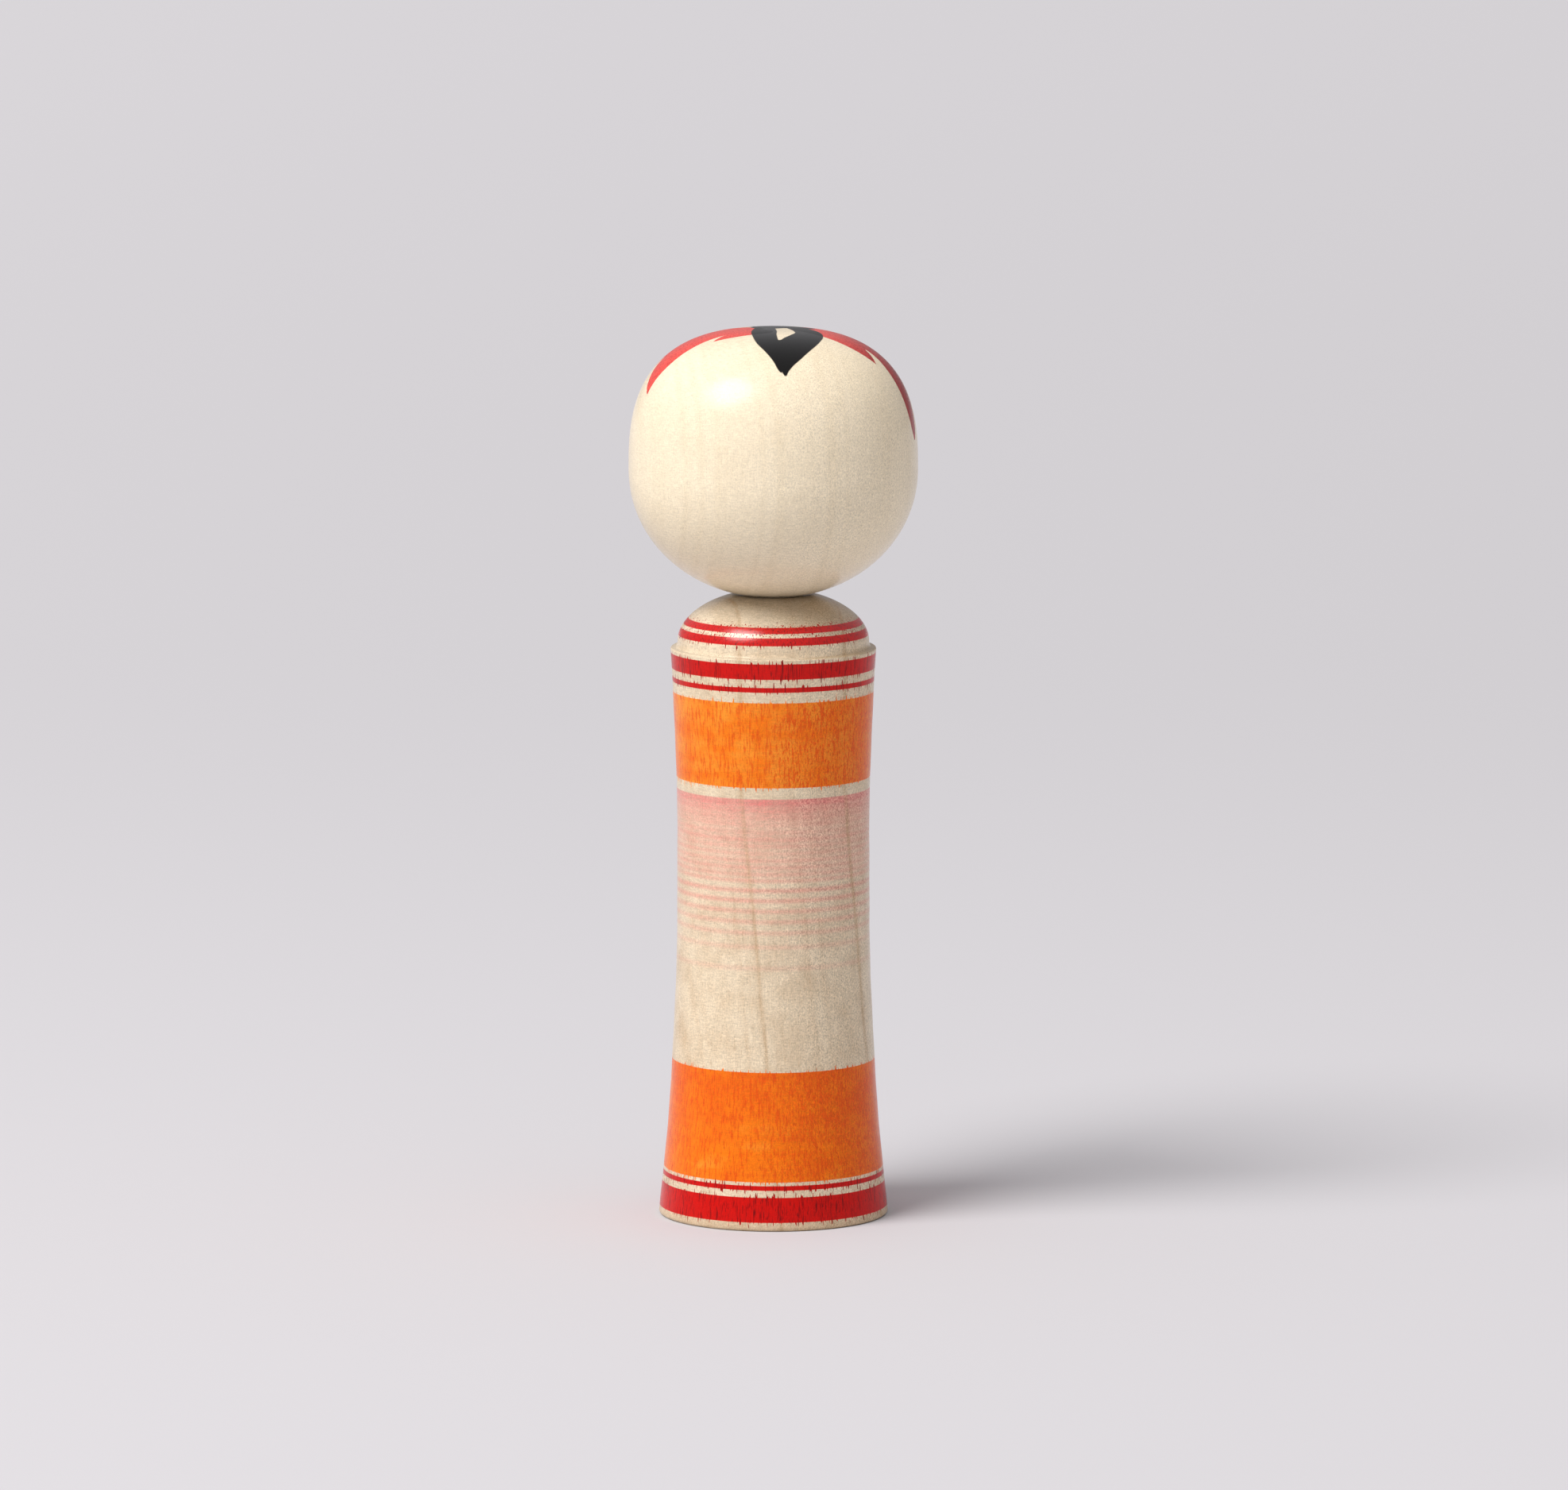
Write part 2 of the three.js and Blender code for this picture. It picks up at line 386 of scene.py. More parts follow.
def body_piece():
    piece = turned("kokeshi_body", evenly(body_profile(), BODY_SPACING), BODY_COLUMNS)
    paint(piece, "petal", [on_trunk(points) for points in petals()])
    paint(piece, "leaf", [on_trunk(points) for points in STEM + LEAVES])
    piece.data.materials.append(body_material())
    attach(piece, "body")
    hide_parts("body")


def head_piece():
    piece = turned("kokeshi_head", evenly(head_profile(), HEAD_SPACING), HEAD_COLUMNS)
    locks = BACK_LOCK + CROWN_KNOT + FORELOCK + both_sides(FORELOCK_SIDE)
    ribbons = BACK_RIBBONS + both_sides(FRONT_RIBBON)
    paint(piece, "ink", [on_crown(points) for points in locks]
          + [on_side(points) for points in both_sides(SIDE_LOCK)])
    paint(piece, "ribbon", [on_crown(points) for points in ribbons])
    piece.data.materials.append(head_material())
    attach(piece, "head")
    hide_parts("head")


# --- Materials --------------------------------------------------------------------------------------
def linear(red, green, blue):
    """A colour picked as 8-bit sRGB, as the linear colour that a shader takes."""
    def one(value):
        value /= 255
        return value / 12.92 if value <= 0.04045 else ((value + 0.055) / 1.055) ** 2.4
    return (one(red), one(green), one(blue), 1.0)


class Nodes:
    """A short way to write a node tree. A value may be a number, a colour or another node's socket."""

    def __init__(self, tree):
        self.tree = tree

    def add(self, kind, inputs=None, **settings):
        node = self.tree.nodes.new(kind)
        for key, value in settings.items():
            setattr(node, key, value)
        for key, value in (inputs or {}).items():
            self.feed(node.inputs[key], value)
        return node

    def feed(self, socket, value):
        if isinstance(value, bpy.types.NodeSocket):
            self.tree.links.new(value, socket)
        else:
            socket.default_value = value

    def math(self, operation, *values, clamp=False):
        node = self.add("ShaderNodeMath", operation=operation, use_clamp=clamp)
        for socket, value in zip(node.inputs, values):
            self.feed(socket, value)
        return node.outputs[0]

    def ramp(self, value, low, high, to_low=0.0, to_high=1.0, smooth=True):
        kind = "SMOOTHSTEP" if smooth else "LINEAR"
        node = self.add("ShaderNodeMapRange", {0: value, 1: low, 2: high, 3: to_low, 4: to_high},
                        interpolation_type=kind, clamp=True)
        return node.outputs[0]

    def mix(self, factor, a, b, blend="MIX"):
        node = self.add("ShaderNodeMix", {0: factor, 6: a, 7: b}, data_type="RGBA", blend_type=blend)
        return node.outputs[2]

    def stretch(self, vector, x, y, z):
        node = self.add("ShaderNodeMapping", {"Vector": vector, "Scale": (x, y, z)})
        return node.outputs[0]

    def noise(self, vector, scale, detail=2.0, roughness=0.5):
        node = self.add("ShaderNodeTexNoise", {
            "Vector": vector, "Scale": scale, "Detail": detail, "Roughness": roughness})
        return node.outputs[0]


def new_material(name):
    material = bpy.data.materials.new(name)
    material.use_nodes = True
    nodes = Nodes(material.node_tree)
    shader = material.node_tree.nodes["Principled BSDF"]
    return material, nodes, shader


# The grain's textures: features to the millimetre across and along it, octaves, roughness.
CLOUDS = (0.2, 0.2, 3.0, 0.5)
FIBRE = (5.5, 0.3, 3.0, 0.6)
SPECKLE = (4.4, 3.2, 2.0, 0.7)
TURNING = (0.9, 5.2, 2.0, 0.6)      # the tool's fine marks, round the piece
STREAKS = (3.0, 0.4, 3.0, 0.6)
TICKS = (4.4, 0.6, 1.0, 0.5)
FIBRE_CONTRAST = 0.08
SPECKLE_CONTRAST = 0.36
TURNING_CONTRAST = 0.13
RING_SPACING = 2.2                  # between the faint growth rings
GRAIN_AND_SHADE_WAY = (-0.38, 0.0, 1.0)       # it leans towards -X, away from the key light, which puts painted shade on the dome's -X side


class Wood:
    """The grain of one turned piece, in millimetres of its own frame. The trunk grew along Z."""

    def __init__(self, nodes, pith, lean, thirst_and_shade):
        self.nodes = nodes
        self.thirst_and_shade = thirst_and_shade
        place = nodes.add("ShaderNodeTexCoord").outputs["Object"]
        self.place = nodes.stretch(place, 1000, 1000, 1000)
        self.x, self.y, self.z = nodes.add("ShaderNodeSeparateXYZ", {0: self.place}).outputs
        self.age = self.distance_from(pith, lean)
        self.clouds = self.noise(*CLOUDS)
        self.fibre = self.noise(*FIBRE)
        self.speckle = self.noise(*SPECKLE)
        self.turning = self.noise(*TURNING)
        self.streaks = self.noise(*STREAKS)
        self.ticks = nodes.ramp(self.noise(*TICKS), 0.62, 0.74)
        # The saw-cut face of the log shows speckled grain, and the split face woven grain. The speckled
        # face is on the -X side, away from the key light, and this mask also carries painted shade
        # there.
        drift = nodes.ramp(self.clouds, 0.3, 0.7, -5.0, 5.0, smooth=False)
        self.speckled_shaded_side = nodes.ramp(nodes.math("ADD", self.x, drift), 5.0, -8.0)

    def stretched(self, across, along):
        return self.nodes.stretch(self.place, across, across, along)

    def noise(self, across, along, detail=2.0, roughness=0.5):
        """Noise with this many features to the millimetre across and along the grain."""
        return self.nodes.noise(self.stretched(across, along), 1.0, detail, roughness)

    def distance_from(self, pith, lean):
        """How far out in the growing trunk a point lies: its growth rings are at steps of this."""
        nodes = self.nodes
        sideways = nodes.ramp(self.z, lean[0], lean[1], 0.0, lean[2], smooth=False)
        x = nodes.math("SUBTRACT", nodes.math("ADD", self.x, sideways), pith[0])
        y = nodes.math("SUBTRACT", self.y, pith[1])
        out = nodes.math("SQRT", nodes.math("ADD", nodes.math("MULTIPLY", x, x),
                                            nodes.math("MULTIPLY", y, y)))
        wander = nodes.ramp(self.noise(0.06, 0.05), 0.2, 0.8, -0.3, 0.3, smooth=False)
        return nodes.math("ADD", wander, out)

    def growth_line(self, radius, width):
        """One where the ring at this distance from the pith comes to the surface."""
        nodes = self.nodes
        off = nodes.math("ABSOLUTE", nodes.math("SUBTRACT", self.age, radius))
        return nodes.ramp(off, width, 0.0)

    def faint_rings(self, spacing):
        nodes = self.nodes
        age = nodes.add("ShaderNodeCombineXYZ", {0: nodes.math("DIVIDE", self.age, spacing)})
        return nodes.ramp(nodes.noise(age.outputs[0], 1.0, detail=3.0, roughness=0.6), 0.4, 0.75)

    def figure(self, strength):
        """How the fine grain lightens and darkens whatever colour lies on it, around one."""
        nodes = self.nodes
        fibre, speckle, turning = (
            nodes.ramp(texture, 0.25, 0.75, -contrast, contrast, smooth=False)
            for texture, contrast in ((self.fibre, FIBRE_CONTRAST), (self.speckle, SPECKLE_CONTRAST),
                                      (self.turning, TURNING_CONTRAST)))
        speckle = nodes.math("MULTIPLY", speckle, nodes.ramp(self.speckled_shaded_side, 0, 1, 0.5, 1.0))
        turning = nodes.math("MULTIPLY", turning, nodes.ramp(self.speckled_shaded_side, 0, 1, 1.0, 0.35))
        shade = nodes.math("ADD", nodes.math("ADD", fibre, speckle), turning)
        return nodes.math("MULTIPLY_ADD", shade, strength, 1.0)

    def figured(self, colour, strength=1.0):
        nodes = self.nodes
        shade = self.figure(strength)
        grey = nodes.add("ShaderNodeCombineXYZ", {0: shade, 1: shade, 2: shade}).outputs[0]
        return nodes.mix(1.0, colour, grey, blend="MULTIPLY")

    def colour(self, pale, brown, soaked_and_shaded, faint, cloudy):
        """Bare wood, pale to brown, with a soaked tone for each face, before its fine figure. On the
        body, the tone of the -X face, away from the key light, is painted shade.
        """
        nodes = self.nodes
        dark = nodes.math("MULTIPLY", self.faint_rings(RING_SPACING), faint)
        dark = nodes.math("MULTIPLY_ADD", nodes.ramp(self.clouds, 0.35, 0.7), cloudy, dark)
        dark = nodes.math("MULTIPLY_ADD", self.ticks, 0.22, dark, clamp=True)
        colour = nodes.mix(dark, linear(*pale), linear(*brown))
        # On the body, the tone on the -X side, away from the key light, is painted shade.
        soaked_and_shaded = nodes.mix(self.speckled_shaded_side, linear(*soaked_and_shaded[0]), linear(*soaked_and_shaded[1]))
        return nodes.mix(self.end_grain_and_shade(), colour, soaked_and_shaded)

    def growth_lines(self, lines):
        """Where the darker edges of a few growth rings come to the surface, broken by the grain."""
        nodes = self.nodes
        dark = 0.0
        for radius, width, depth in lines:
            line = nodes.math("MULTIPLY", self.growth_line(radius, width), depth)
            dark = nodes.math("MAXIMUM", line, dark)
        return nodes.math("MULTIPLY", dark, nodes.ramp(self.noise(1.5, 0.3), 0.3, 0.6, 0.4, 1.0))

    def end_grain_and_shade(self):
        """Where the surface cuts across the grain it soaks up more wax, and looks darker. The grain's
        lean adds painted shade on the -X side, away from the key light.
        """
        nodes = self.nodes
        normal = nodes.add("ShaderNodeTexCoord").outputs["Normal"]
        along = nodes.add("ShaderNodeVectorMath", {0: normal, 1: GRAIN_AND_SHADE_WAY}, operation="DOT_PRODUCT")
        along = nodes.math("ABSOLUTE", along.outputs["Value"])
        return nodes.ramp(along, 0.35, 1.0, 0.0, self.thirst_and_shade)

    def height(self):
        """What the bump is made from: closed grain under a thin wax."""
        nodes = self.nodes
        rough = nodes.math("MULTIPLY_ADD", self.fibre, 0.5, self.speckle)
        return nodes.math("MULTIPLY_ADD", self.turning, 0.6, rough)


# --- Colours, as 8-bit sRGB, and where the dyes lie -----------------------------------------------
BODY_PALE = (226, 208, 180)
BODY_BROWN = (180, 146, 106)
BODY_SOAKED_AND_SHADED = ((186, 176, 158), (150, 122, 84))     # on the woven face, and painted shade on the speckled -X face, away from the key light
FOOT_BROWN = (140, 108, 74)
HEAD_PALE = (242, 227, 199)
HEAD_BROWN = (212, 190, 152)
HEAD_SOAKED = (HEAD_BROWN, HEAD_BROWN)
RED = (203, 16, 10)
DEEP_RED = (96, 10, 12)
ORANGE = (241, 121, 16)
PALE_ORANGE = (243, 145, 42)
DEEP_ORANGE = (225, 86, 14)
STREAK_ORANGE = (204, 60, 12)
PINK = (224, 142, 130)
DEEP_PINK = (222, 124, 120)
GREEN = (62, 104, 58)
INK = (12, 11, 10)
RIBBON = (237, 86, 76)
DEEP_RIBBON = (142, 24, 26)
LINE_RED = (190, 40, 36)
LINE_BLACK = (34, 28, 26)
RED_BANDS = ((100.94, 101.92), (99.01, 100.29), (93.47, 96.11), (91.27, 92.12), (6.9, 7.7),
             (1.51, 5.73))
ORANGE_BANDS = ((75.02, 89.48), (8.28, 26.77))
BLEEDING = 1.2                      # the farthest that dye creeps along the grain
BLEED_COLUMNS = (3.6, 0.11)         # to the millimetre across and along the grain
# The pink wash, by height: the brush left the turning wood, then touched it again lower down.
PINK_TOP = 73.11
PINK_TURN = 1.2                     # how far the brush moved down with each turn
PINK_RING_HALF_WIDTH = 0.8
PINK_WASH = ((44.0, 0.0), (50.0, 0.03), (58.6, 0.07), (59.4, 0.3), (60.2, 0.36), (64.0, 0.38),
             (66.5, 0.48), (68.2, 0.41), (69.4, 0.52), (70.6, 0.62), (72.0, 0.7), (73.1, 0.8))
PINK_RINGS = ((59.3, 0.46), (57.6, 0.54), (55.9, 0.52), (54.1, 0.42), (52.3, 0.36), (50.4, 0.32),
              (48.0, 0.22), (44.4, 0.18))


def bleeding(wood, shift):
    """Thin columns along the grain, where dye creeps out of a painted edge: 0 to 1."""
    nodes = wood.nodes
    place = nodes.add("ShaderNodeVectorMath", {0: wood.stretched(*BLEED_COLUMNS), 1: (shift, 0, 0)},
                      operation="ADD").outputs[0]
    return nodes.ramp(nodes.noise(place, 1.0, detail=1.0), 0.58, 0.8, smooth=False)


def bands(wood, edges, columns, softness=0.07):
    """One inside the painted bands. The dye bleeds up from a top edge and down from a bottom one."""
    nodes = wood.nodes
    upper = nodes.math("MULTIPLY_ADD", columns[0], -BLEEDING, wood.z)
    lower = nodes.math("MULTIPLY_ADD", columns[1], BLEEDING, wood.z)
    inside = None
    for low, high in edges:
        under = nodes.ramp(upper, high + softness, high - softness)
        over = nodes.ramp(lower, low - softness, low + softness)
        band = nodes.math("MULTIPLY", under, over)
        inside = nodes.math("MAXIMUM", inside, band) if inside else band
    return inside


def curve(nodes, value, points):
    """A value that follows straight lines between points (value, result) in rising order."""
    low, high = points[0][0], points[-1][0]
    place = nodes.ramp(value, low, high, smooth=False)
    node = nodes.add("ShaderNodeValToRGB", {0: place})
    stops = node.color_ramp.elements
    while len(stops) < len(points):
        stops.new(0.5)
    for stop, (at, result) in zip(stops, points):
        stop.position = (at - low) / (high - low)
    for stop, (at, result) in zip(stops, points):
        stop.color = (result, result, result, 1)
    return node.outputs[0]


def pink_density(wood):
    nodes = wood.nodes
    wash = curve(nodes, wood.z, PINK_WASH)
    wash = nodes.math("MULTIPLY", wash, nodes.ramp(wood.z, PINK_TOP + 0.12, PINK_TOP - 0.12))
    rounds = nodes.ramp(wood.noise(0.02, 0.9, detail=2.0), 0.35, 0.65, -0.5, 0.5, smooth=False)
    turns = nodes.math("SINE", nodes.math("MULTIPLY", wood.z, math.tau / PINK_TURN))
    depth = nodes.ramp(wood.z, 71.0, 61.0, 0.06, 0.3)
    rounds = nodes.math("MULTIPLY", nodes.math("ADD", turns, rounds), depth)
    wash = nodes.math("MULTIPLY", wash, nodes.math("ADD", rounds, 1.0))
    for height, strength in PINK_RINGS:
        off = nodes.math("ABSOLUTE", nodes.math("SUBTRACT", wood.z, height))
        wash = nodes.math("MAXIMUM", wash, nodes.ramp(off, PINK_RING_HALF_WIDTH, 0.0, 0.0, strength))
    uneven = nodes.ramp(wood.noise(0.3, 0.5, detail=3.0), 0.3, 0.7, 0.88, 1.12, smooth=False)
    broken = nodes.ramp(wood.speckle, 0.3, 0.7, 1.4, 0.6, smooth=False)
    fine = nodes.ramp(wood.turning, 0.3, 0.7, 0.85, 1.15, smooth=False)
    broken = nodes.mix(wood.speckled_shaded_side, fine, broken)
    return nodes.math("MULTIPLY", nodes.math("MULTIPLY", wash, uneven), broken, clamp=True)


def orange_load(wood):
    """How much orange the wood holds: the lower band had more, most of it where it was begun."""
    nodes = wood.nodes
    lower = nodes.ramp(wood.z, 40.0, 30.0, 0.0, 0.2)
    begun = nodes.math("MULTIPLY", nodes.ramp(wood.z, 17.0, 23.0), lower)
    rounds = nodes.math("MULTIPLY", wood.noise(0.05, 0.6, detail=3.0), 0.5)
    load = nodes.math("MULTIPLY_ADD", wood.clouds, 0.8, rounds)
    return nodes.math("ADD", load, nodes.math("MULTIPLY_ADD", begun, 0.5, lower))


def orange_dye(wood):
    """Orange is paler where the wood took less of it, and redder in the open grain. It is deeper on the
    -X side, away from the key light, as painted shade.
    """
    nodes = wood.nodes
    load = orange_load(wood)
    colour = nodes.mix(nodes.ramp(load, 0.5, 0.8), linear(*PALE_ORANGE), linear(*ORANGE))
    spots = nodes.ramp(wood.noise(3.4, 1.3, detail=2.0), 0.48, 0.7)
    spots = nodes.math("MULTIPLY", spots, nodes.ramp(wood.speckled_shaded_side, 0, 1, 0.2, 1.0))
    streaks = nodes.ramp(wood.streaks, 0.49, 0.61, 0.0, 0.75)
    # The side mask adds deep orange on the -X side, away from the key light: painted shade.
    deep = nodes.math("MULTIPLY_ADD", wood.speckled_shaded_side, 0.2, nodes.ramp(load, 0.75, 1.1, 0.0, 0.5))
    deep = nodes.math("ADD", nodes.math("MAXIMUM", streaks, spots), deep, clamp=True)
    colour = nodes.mix(deep, colour, linear(*DEEP_ORANGE))
    colour = nodes.mix(nodes.math("MULTIPLY", wood.ticks, 0.45), colour, linear(*STREAK_ORANGE))
    return wood.figured(colour, 0.7)


def red_dye(wood, columns):
    nodes = wood.nodes
    dark = nodes.math("MAXIMUM", nodes.math("MULTIPLY", wood.ticks, 0.75), columns[0])
    dark = nodes.math("MAXIMUM", dark, columns[1])
    dark = nodes.math("MULTIPLY_ADD", nodes.ramp(wood.streaks, 0.5, 0.8), 0.3, dark, clamp=True)
    return wood.figured(nodes.mix(dark, linear(*RED), linear(*DEEP_RED)), 0.5)


def painted(wood, dye, softness=0.07, bleed=0.25):
    """One inside the strokes of this dye, with an edge that follows the grain a little."""
    nodes = wood.nodes
    off = nodes.add("ShaderNodeAttribute", attribute_name=dye).outputs["Fac"]
    ragged = nodes.ramp(wood.streaks, 0.3, 0.8, -0.1 * bleed, 0.5 * bleed, smooth=False)
    off = nodes.math("SUBTRACT", off, ragged)
    return nodes.ramp(off, softness, -softness)


ROUGHNESS_SPREAD = 0.06             # the wax is rougher or smoother by this, speckle by speckle
BUMP_STRENGTH = 0.25
BUMP_DEPTH = 0.04 * MM


def wax(nodes, shader, wood, colour, roughness, gloss):
    """A thin coat of wax over the coloured wood."""
    nodes.feed(shader.inputs["Base Color"], colour)
    worn = nodes.ramp(wood.speckle, 0.2, 0.8, roughness + ROUGHNESS_SPREAD,
                      roughness - ROUGHNESS_SPREAD, smooth=False)
    nodes.feed(shader.inputs["Roughness"], worn)
    nodes.feed(shader.inputs["Specular IOR Level"], gloss)
    bump = nodes.add("ShaderNodeBump", {"Height": wood.height(), "Strength": BUMP_STRENGTH,
                                        "Distance": BUMP_DEPTH})
    nodes.feed(shader.inputs["Normal"], bump.outputs[0])


PRONG_HALF_WIDTH = (0.55, 0.3)      # each pair: where a dent fades out, and where it is full
PRONG_OUTER_END = (6.4, 6.0)
PRONG_INNER_END = (2.6, 3.0)


def underside(wood, colour):
    """Rings left by the parting tool on the foot, and the dents of the lathe's four prongs."""
    nodes = wood.nodes
    radius = nodes.math("SQRT", nodes.math("ADD", nodes.math("MULTIPLY", wood.x, wood.x),
                                           nodes.math("MULTIPLY", wood.y, wood.y)))
    along_radius = nodes.add("ShaderNodeCombineXYZ", {0: radius}).outputs[0]
    rings = nodes.ramp(nodes.noise(along_radius, 1.6, detail=3.0), 0.4, 0.7, 0.0, 0.6)
    blade = nodes.math("MINIMUM", nodes.math("ABSOLUTE", wood.x), nodes.math("ABSOLUTE", wood.y))
    dents = nodes.math("MULTIPLY", nodes.ramp(blade, *PRONG_HALF_WIDTH),
                       nodes.ramp(radius, *PRONG_OUTER_END))
    dents = nodes.math("MULTIPLY", dents, nodes.ramp(radius, *PRONG_INNER_END))
    dark = nodes.math("MULTIPLY", nodes.math("MAXIMUM", rings, dents), nodes.ramp(wood.z, 0.2, 0.05))
    return nodes.mix(dark, colour, linear(*FOOT_BROWN))


# Where the pith of the log was (x, y), how its rings shift along x (from z, to z, by how much), and
# how strongly the end grain and its painted shade show.
BODY_LOG = {"pith": (48.0, 12.0), "lean": (75.0, 0.0, 7.0), "thirst_and_shade": 0.5}
HEAD_LOG = {"pith": (-46.0, 10.0), "lean": (150.0, 100.0, 1.0), "thirst_and_shade": 0.13}
BODY_LINES = ((28.6, 0.7, 0.3), (41.1, 0.55, 0.45), (58.8, 0.6, 0.5))   # from pith, width, depth
BODY_ROUGHNESS = 0.22
HEAD_ROUGHNESS = 0.21
TRUNK_GLOSS = 0.16
DOME_GLOSS = 0.45
HEAD_GLOSS = 0.23
RIBBON_DULLNESS = 0.15              # how much of the head's gloss the ribbon strokes lack


def body_material():
    material, nodes, shader = new_material("body_wood")
    wood = Wood(nodes, **BODY_LOG)
    colour = wood.colour(BODY_PALE, BODY_BROWN, BODY_SOAKED_AND_SHADED, faint=0.2, cloudy=0.22)
    # Browner towards the foot, over its lowest 3 mm.
    browner_near_foot = nodes.ramp(wood.z, 3.0, 0.3, 0.0, 0.45)
    colour = nodes.mix(browner_near_foot, colour, linear(*BODY_BROWN))
    pink = nodes.mix(nodes.ramp(wood.z, 70.0, 73.0), linear(*PINK), linear(*DEEP_PINK))
    colour = nodes.mix(pink_density(wood), colour, pink)
    lines = wood.growth_lines(BODY_LINES)
    colour = wood.figured(nodes.mix(lines, colour, linear(*BODY_BROWN)), 1.1)
    colour = underside(wood, colour)
    columns = bleeding(wood, 0.0), bleeding(wood, 40.0)
    red = red_dye(wood, columns)
    colour = nodes.mix(bands(wood, ORANGE_BANDS, columns), colour, orange_dye(wood))
    colour = nodes.mix(bands(wood, RED_BANDS, columns), colour, red)
    colour = nodes.mix(painted(wood, "leaf"), colour, wood.figured(linear(*GREEN)))
    colour = nodes.mix(painted(wood, "petal"), colour, red)
    gloss = nodes.ramp(wood.z, DOME_FOOT_Z - 0.6, DOME_FOOT_Z + 0.4, TRUNK_GLOSS, DOME_GLOSS)
    wax(nodes, shader, wood, colour, BODY_ROUGHNESS, gloss)
    return material


def head_material():
    material, nodes, shader = new_material("head_wood")
    wood = Wood(nodes, **HEAD_LOG)
    colour = wood.colour(HEAD_PALE, HEAD_BROWN, HEAD_SOAKED, faint=0.18, cloudy=0.08)
    colour = wood.figured(colour, 0.7)
    # Deeper red towards -X, the side away from the key light: painted shade.
    shaded_side_red = nodes.ramp(wood.x, -5.0, -20.0, 0.0, 0.7)
    load = nodes.math("MULTIPLY_ADD", nodes.ramp(wood.streaks, 0.35, 0.8), 0.6, shaded_side_red)
    load = nodes.math("MULTIPLY_ADD", wood.ticks, 0.7, load, clamp=True)
    ribbon = nodes.mix(load, linear(*RIBBON), linear(*DEEP_RIBBON))
    ribbons = painted(wood, "ribbon")
    colour = nodes.mix(ribbons, colour, ribbon)
    colour = nodes.mix(painted(wood, "ink", softness=0.1, bleed=0.05), colour, linear(*INK))
    colour = face(wood, colour)
    gloss = nodes.math("MULTIPLY_ADD", ribbons, -RIBBON_DULLNESS, HEAD_GLOSS)
    wax(nodes, shader, wood, colour, HEAD_ROUGHNESS, gloss)
    return material


# --- The face, drawn with a thin brush ----------------------------------------------------------------
# Each line: (mm from the middle, half length, height of its ends, rise in its middle, half width).
BROW = (8.4, 4.6, 131.6, 1.7, 0.42)
UPPER_LID = (8.2, 3.5, 124.9, 1.05, 0.4)
LOWER_LID = (8.0, 2.7, 124.5, -0.75, 0.2)
NOSE = (0.95, 0.6, 117.9, -0.7, 0.26)
UPPER_LIP = (0.0, 2.3, 112.15, 0.42, 0.36)
LOWER_LIP = (0.0, 1.5, 111.8, -0.42, 0.36)
PUPIL = (8.1, 124.85, 0.95)         # mm from the middle, height, radius
LINE_SOFTNESS = 0.06


def drawn_line(nodes, across, z, line):
    """One inside a curved line that tapers to both ends."""
    middle, half_length, ends_z, rise, half_width = line
    way = nodes.math("DIVIDE", nodes.math("SUBTRACT", across, middle), half_length)
    bow = nodes.math("SUBTRACT", 1.0, nodes.math("MULTIPLY", way, way))
    centre = nodes.math("MULTIPLY_ADD", bow, rise, ends_z)
    width = nodes.math("MULTIPLY", nodes.math("SQRT", nodes.math("MAXIMUM", bow, 0.0)), half_width)
    off = nodes.math("ABSOLUTE", nodes.math("SUBTRACT", z, centre))
    inside = nodes.ramp(nodes.math("SUBTRACT", off, width), LINE_SOFTNESS, -LINE_SOFTNESS)
    return nodes.math("MULTIPLY", inside, nodes.ramp(bow, 0.0, 0.05))


def face(wood, colour):
    nodes = wood.nodes
    facing = nodes.math("MULTIPLY", wood.y, -1.0)
    turn = nodes.math("ARCTAN2", wood.x, facing)
    across = nodes.math("ABSOLUTE", nodes.math("MULTIPLY", turn, HEAD_RADIUS))
    black = nodes.math("MAXIMUM", drawn_line(nodes, across, wood.z, BROW),
                       drawn_line(nodes, across, wood.z, UPPER_LID))
    for line in (LOWER_LID, NOSE):
        black = nodes.math("MAXIMUM", black, drawn_line(nodes, across, wood.z, line))
    middle, height, radius = PUPIL
    off_x = nodes.math("SUBTRACT", across, middle)
    off_z = nodes.math("SUBTRACT", wood.z, height)
    off = nodes.math("SQRT", nodes.math("ADD", nodes.math("MULTIPLY", off_x, off_x),
                                        nodes.math("MULTIPLY", off_z, off_z)))
    pupil = nodes.ramp(off, radius + LINE_SOFTNESS, radius - LINE_SOFTNESS)
    black = nodes.math("MAXIMUM", black, pupil)
    red = nodes.math("MAXIMUM", drawn_line(nodes, across, wood.z, UPPER_LIP),
                     drawn_line(nodes, across, wood.z, LOWER_LIP))
    colour = nodes.mix(black, colour, linear(*LINE_BLACK))
    return nodes.mix(red, colour, linear(*LINE_RED))


# --- Camera, light and floor --------------------------------------------------------------------------
CAMERA_TURN = 5.7        # degrees round from straight behind the doll, towards its left
CAMERA_RISE = 7.97       # degrees above the horizon
CAMERA_DISTANCE = 1.854
CAMERA_AIM_Z = 0.0801
CAMERA_ASIDE = 0.0018    # the doll stands this far left of the frame's middle
CAMERA_LENS = 251.7      # millimetres, as is the sensor's width
SENSOR_WIDTH = 36
NEAREST_SEEN = 0.05
FARTHEST_SEEN = 40


def direction(turn, rise):
    """From the doll towards something turned from straight behind it, clockwise from above."""
    turn, rise = math.radians(turn), math.radians(rise)
    return Vector((math.sin(turn) * math.cos(rise), math.cos(turn) * math.cos(rise), math.sin(rise)))


def point_at(thing, target):
    thing.rotation_mode = "QUATERNION"
    thing.rotation_quaternion = (target - thing.location).to_track_quat("-Z", "Y")


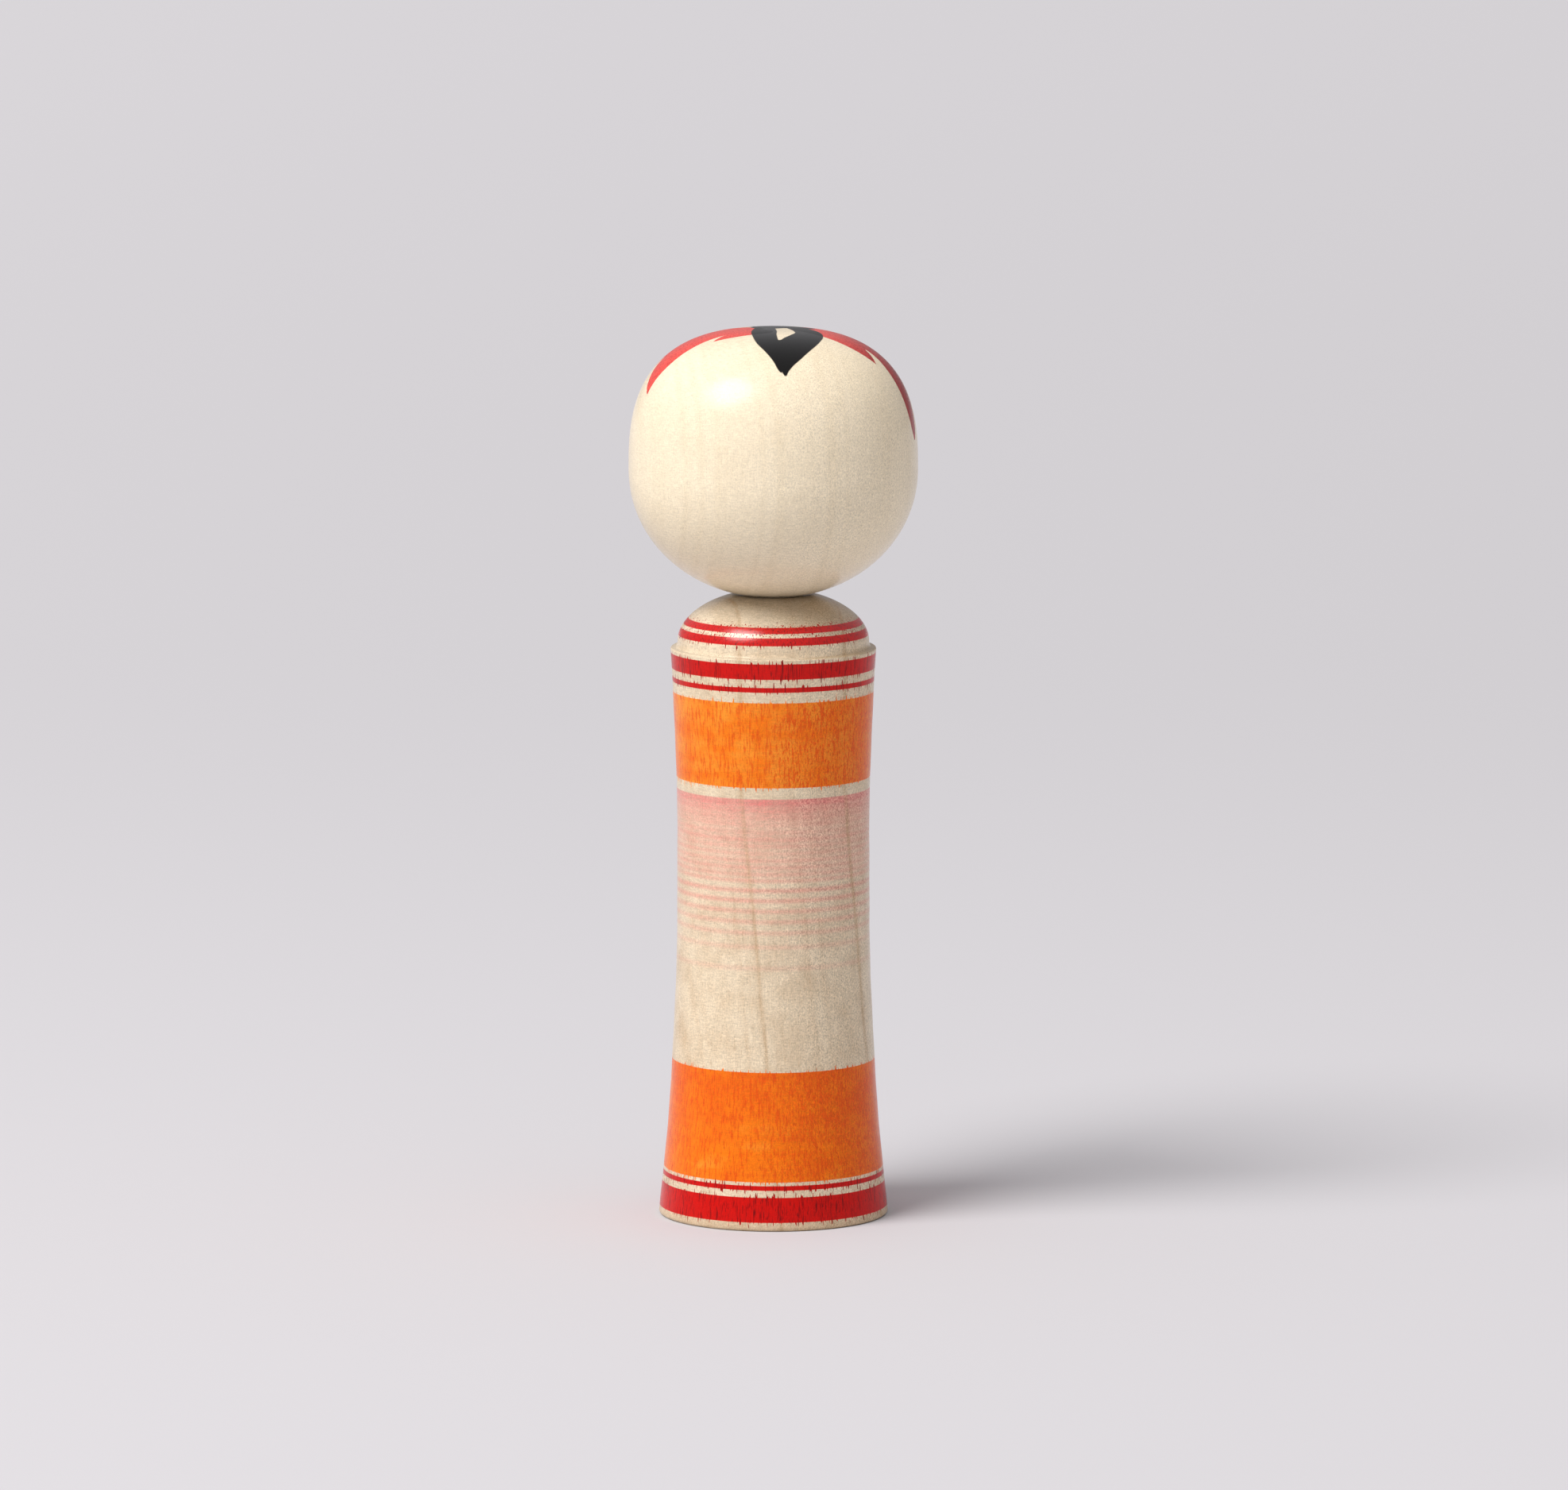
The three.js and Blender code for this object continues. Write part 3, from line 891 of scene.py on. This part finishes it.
def make_camera():
    data = bpy.data.cameras.new("camera")
    data.lens = CAMERA_LENS
    data.sensor_width = SENSOR_WIDTH
    data.clip_start = NEAREST_SEEN
    data.clip_end = FARTHEST_SEEN
    camera = bpy.data.objects.new("camera", data)
    bpy.context.scene.collection.objects.link(camera)
    towards = direction(CAMERA_TURN, CAMERA_RISE)
    right = Vector((0, 0, 1)).cross(towards).normalized()
    target = Vector((0, 0, CAMERA_AIM_Z)) + right * CAMERA_ASIDE
    camera.location = target + towards * CAMERA_DISTANCE
    point_at(camera, target)
    bpy.context.scene.camera = camera


KEY_TURN = CAMERA_TURN + 53          # degrees, as are the next two
KEY_RISE = 51
KEY_ANGLE = 32                      # how wide the key light looks from the doll
KEY_STRENGTH = 2.95
KEY_COLOUR = (1.0, 0.985, 0.97)
SKY_COLOUR = (0.98, 0.97, 1.0, 1)
SKY_AT_HORIZON = 0.3
SKY_AT_ZENITH = 0.63
SKY_FULL_HEIGHT = 0.9               # the sine of the height where the zenith's strength is reached


def make_lights():
    data = bpy.data.lights.new("key", "SUN")
    data.energy = KEY_STRENGTH
    data.angle = math.radians(KEY_ANGLE)
    data.color = KEY_COLOUR
    key = bpy.data.objects.new("key", data)
    bpy.context.scene.collection.objects.link(key)
    key.location = direction(KEY_TURN, KEY_RISE)
    point_at(key, Vector((0, 0, 0)))
    world = bpy.data.worlds.new("studio")
    bpy.context.scene.world = world
    world.use_nodes = True
    nodes = Nodes(world.node_tree)
    background = world.node_tree.nodes["Background"]
    background.inputs["Color"].default_value = SKY_COLOUR
    way = nodes.add("ShaderNodeTexCoord").outputs["Generated"]
    height = nodes.add("ShaderNodeSeparateXYZ", {0: way}).outputs[2]
    strength = nodes.ramp(height, 0.0, SKY_FULL_HEIGHT, SKY_AT_HORIZON, SKY_AT_ZENITH, smooth=False)
    nodes.feed(background.inputs["Strength"], strength)


PAPER = (0.6, 0.586, 0.606, 1)
PAPER_ROUGHNESS = 0.9
FLOOR_REACH = 12.0
# How the paper's painted light and shade change with distance beyond the doll, negative on the camera's
# side.
# Each: from, to, first factor, last factor.
NEAR_LIFT = (-0.3, -0.6, 1.0, 1.25)
BEYOND_FALL = (-0.25, 0.75, 1.0, 0.87)
FAR_LIFT = (0.9, 2.8, 1.0, 1.03)
# And with the share of the view's distance that a place lies to the picture's right.
SIDEWAYS_FALL = (-0.1, 0.1, 1.04, 0.96)


def make_floor():
    """A sheet of paper whose colour carries painted light and shade: lighter towards the camera, darker
    beyond the doll and towards the picture's right.
    """
    low, high = -FLOOR_REACH, FLOOR_REACH
    mesh = bpy.data.meshes.new("floor")
    mesh.from_pydata([(low, low, 0), (high, low, 0), (high, high, 0), (low, high, 0)],
                     [], [(0, 1, 2, 3)])
    floor = bpy.data.objects.new("floor", mesh)
    bpy.context.scene.collection.objects.link(floor)
    material, nodes, shader = new_material("paper")
    place = nodes.add("ShaderNodeTexCoord").outputs["Object"]
    turn = math.radians(CAMERA_TURN)
    beyond = nodes.add("ShaderNodeVectorMath", {0: place, 1: (-math.sin(turn), -math.cos(turn), 0)},
                       operation="DOT_PRODUCT").outputs[1]
    aside = nodes.add("ShaderNodeVectorMath", {0: place, 1: (-math.cos(turn), math.sin(turn), 0)},
                      operation="DOT_PRODUCT").outputs[1]
    near = nodes.ramp(beyond, *NEAR_LIFT)
    fall = nodes.math("MULTIPLY", nodes.ramp(beyond, *BEYOND_FALL), near)
    rise = nodes.ramp(beyond, *FAR_LIFT)
    slant = nodes.math("DIVIDE", aside, nodes.math("ADD", beyond, CAMERA_DISTANCE))
    slant = nodes.ramp(slant, *SIDEWAYS_FALL, smooth=False)
    shade = nodes.math("MULTIPLY", nodes.math("MULTIPLY", fall, rise), slant)
    grey = nodes.add("ShaderNodeCombineXYZ", {0: shade, 1: shade, 2: shade}).outputs[0]
    colour = nodes.mix(1.0, PAPER, grey, blend="MULTIPLY")
    nodes.feed(shader.inputs["Base Color"], colour)
    shader.inputs["Roughness"].default_value = PAPER_ROUGHNESS
    mesh.materials.append(material)


bpy.context.scene.view_settings.view_transform = "Standard"
make_camera()
make_lights()
make_floor()
body_piece()
head_piece()
